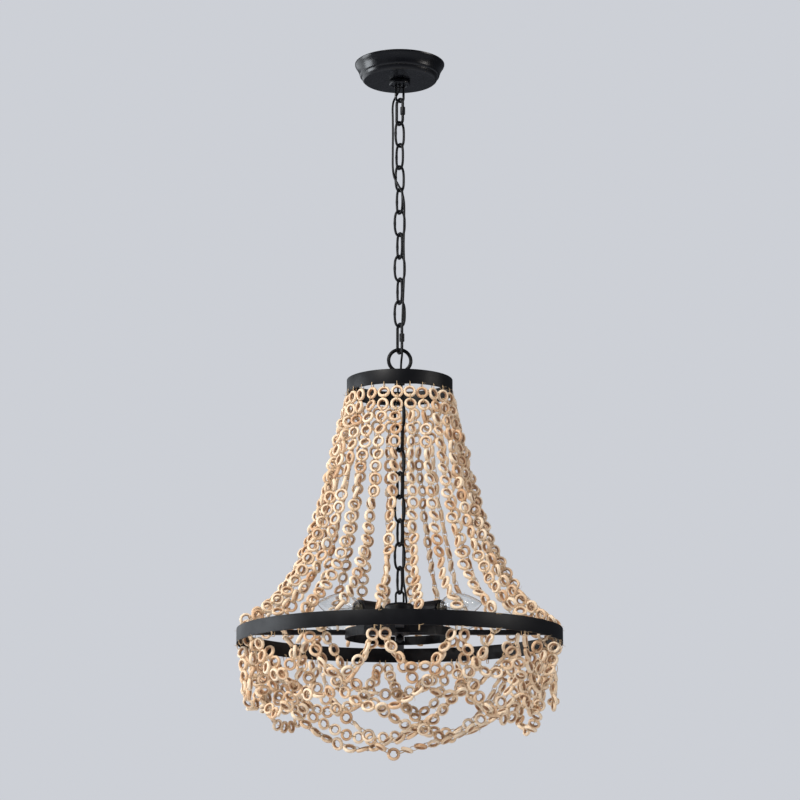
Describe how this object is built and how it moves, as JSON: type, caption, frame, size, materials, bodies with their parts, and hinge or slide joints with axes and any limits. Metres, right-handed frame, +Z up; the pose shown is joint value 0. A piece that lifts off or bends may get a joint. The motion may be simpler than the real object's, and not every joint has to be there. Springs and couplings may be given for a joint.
{
  "type": "beaded chandelier",
  "caption": "Ceiling chandelier on a chain: a small and a large ring joined by strands of wood rings, with swags of wood rings below and clear lamps inside.",
  "frame": {"origin": "centre of the ceiling bracket's top face, in the ceiling plane", "axes": "+Z up along the chain, -Y towards the viewer of the picture, +X to that viewer's right"},
  "size_m": [0.44, 0.44, 0.988],
  "materials": {
    "matte_black": "matte black paint",
    "satin_black": "satin black paint",
    "zinc": "zinc plated",
    "natural_wood": "unvarnished pale wood",
    "clear_glass": "clear",
    "cord_black": "smooth black"
  },
  "bodies": {
    "mounting": {"ceiling_bracket": "zinc", "bracket_screw_1": "zinc", "bracket_screw_2": "zinc", "threaded_nipple": "zinc", "canopy_loop": "satin_black"},
    "canopy_cover": {"canopy": "satin_black"},
    "collar": {"collar_nut": "satin_black"},
    "upper_link": {"upper_quick_link": "matte_black"},
    "upper_sleeve": {"upper_link_sleeve": "matte_black"},
    "link_1": {"chain_link_1": "matte_black"},
    "link_2": {"chain_link_2": "matte_black"},
    "link_3": {"chain_link_3": "matte_black"},
    "link_4": {"chain_link_4": "matte_black"},
    "link_5": {"chain_link_5": "matte_black"},
    "link_6": {"chain_link_6": "matte_black"},
    "link_7": {"chain_link_7": "matte_black"},
    "link_8": {"chain_link_8": "matte_black"},
    "link_9": {"chain_link_9": "matte_black"},
    "lower_link": {"lower_quick_link": "matte_black"},
    "lower_sleeve": {"lower_link_sleeve": "matte_black"},
    "fixture": {"top_loop": "matte_black", "top_ring": "matte_black", "top_crossbar": "matte_black", "chain_eye": "matte_black", "inner_link_1": "matte_black", "inner_link_2": "matte_black", "inner_link_3": "matte_black", "inner_link_4": "matte_black", "inner_link_5": "matte_black", "inner_link_6": "matte_black", "inner_link_7": "matte_black", "inner_link_8": "matte_black", "hub_loop": "matte_black", "hub": "matte_black", "socket_1": "matte_black", "socket_2": "matte_black", "socket_3": "matte_black", "socket_4": "matte_black", "spokes": "matte_black", "inner_ring": "matte_black", "outer_ring": "matte_black", "ring_strands_1": "natural_wood", "ring_strands_2": "natural_wood", "ring_strands_3": "natural_wood", "ring_strands_4": "natural_wood", "ring_strands_5": "natural_wood", "ring_strands_6": "natural_wood", "ring_strands_7": "natural_wood", "outer_garland": "natural_wood", "inner_garland": "natural_wood", "basket_strand_1": "natural_wood", "basket_strand_2": "natural_wood", "basket_strand_3": "natural_wood", "basket_strand_4": "natural_wood", "power_cord": "cord_black"},
    "lamp_1": {"bulb_1": "clear_glass"},
    "lamp_2": {"bulb_2": "clear_glass"},
    "lamp_3": {"bulb_3": "clear_glass"},
    "lamp_4": {"bulb_4": "clear_glass"},
    "finial_ball": {"finial": "matte_black"}
  },
  "joints": [
    {"name": "canopy_drop", "type": "slide", "parent": "mounting", "child": "canopy_cover", "axis": [0, 0, 1], "range_m": [-0.06, 0]},
    {"name": "collar_turn", "type": "hinge", "parent": "canopy_cover", "child": "collar", "pos_m": [0, 0, -0.0283], "axis": [0, 0, 1], "continuous": true},
    {"name": "upper_link_swing", "type": "hinge", "parent": "mounting", "child": "upper_link", "pos_m": [0, 0, -0.05585], "axis": [0.9397, 0.342, 0], "range_deg": [-5, 5]},
    {"name": "upper_sleeve_slide", "type": "slide", "parent": "upper_link", "child": "upper_sleeve", "axis": [0, 0, 1], "range_m": [0, 0.0065]},
    {"name": "link_1_swing", "type": "hinge", "parent": "upper_link", "child": "link_1", "pos_m": [0, 0, -0.0898], "axis": [0.6561, -0.7547, 0], "range_deg": [-5, 5]},
    {"name": "link_2_swing", "type": "hinge", "parent": "link_1", "child": "link_2", "pos_m": [0, 0, -0.1224], "axis": [0.829, 0.5592, 0], "range_deg": [-5, 5]},
    {"name": "link_3_swing", "type": "hinge", "parent": "link_2", "child": "link_3", "pos_m": [0, 0, -0.1551], "axis": [0.6428, -0.766, 0], "range_deg": [-5, 5]},
    {"name": "link_4_swing", "type": "hinge", "parent": "link_3", "child": "link_4", "pos_m": [0, 0, -0.1878], "axis": [0.809, 0.5878, 0], "range_deg": [-5, 5]},
    {"name": "link_5_swing", "type": "hinge", "parent": "link_4", "child": "link_5", "pos_m": [0, 0, -0.2205], "axis": [0.5592, -0.829, 0], "range_deg": [-5, 5]},
    {"name": "link_6_swing", "type": "hinge", "parent": "link_5", "child": "link_6", "pos_m": [0, 0, -0.2532], "axis": [0.9781, 0.2079, 0], "range_deg": [-5, 5]},
    {"name": "link_7_swing", "type": "hinge", "parent": "link_6", "child": "link_7", "pos_m": [0, 0, -0.2859], "axis": [0.4695, -0.8829, 0], "range_deg": [-5, 5]},
    {"name": "link_8_swing", "type": "hinge", "parent": "link_7", "child": "link_8", "pos_m": [0, 0, -0.3186], "axis": [0.9903, 0.1392, 0], "range_deg": [-5, 5]},
    {"name": "link_9_swing", "type": "hinge", "parent": "link_8", "child": "link_9", "pos_m": [0, 0, -0.3513], "axis": [0.4384, -0.8988, 0], "range_deg": [-5, 5]},
    {"name": "lower_link_swing", "type": "hinge", "parent": "link_9", "child": "lower_link", "pos_m": [0, 0, -0.384], "axis": [0.9903, 0.1392, 0], "range_deg": [-5, 5]},
    {"name": "lower_sleeve_slide", "type": "slide", "parent": "lower_link", "child": "lower_sleeve", "axis": [0, 0, 1], "range_m": [0, 0.008]},
    {"name": "fixture_swing", "type": "hinge", "parent": "lower_link", "child": "fixture", "pos_m": [0, 0, -0.4218], "axis": [0.4695, -0.8829, 0], "range_deg": [-5, 5], "deforming": ["power_cord"]},
    {"name": "lamp_1_turn", "type": "hinge", "parent": "fixture", "child": "lamp_1", "pos_m": [0, 0, -0.7842], "axis": [0.7071, -0.7071, 0], "continuous": true},
    {"name": "lamp_2_turn", "type": "hinge", "parent": "fixture", "child": "lamp_2", "pos_m": [0, 0, -0.7842], "axis": [0.7071, 0.7071, 0], "continuous": true},
    {"name": "lamp_3_turn", "type": "hinge", "parent": "fixture", "child": "lamp_3", "pos_m": [0, 0, -0.7842], "axis": [-0.7071, 0.7071, 0], "continuous": true},
    {"name": "lamp_4_turn", "type": "hinge", "parent": "fixture", "child": "lamp_4", "pos_m": [0, 0, -0.7842], "axis": [-0.7071, -0.7071, 0], "continuous": true},
    {"name": "finial_turn", "type": "hinge", "parent": "fixture", "child": "finial_ball", "pos_m": [0, 0, -0.8104], "axis": [0, 0, 1], "continuous": true}
  ]
}
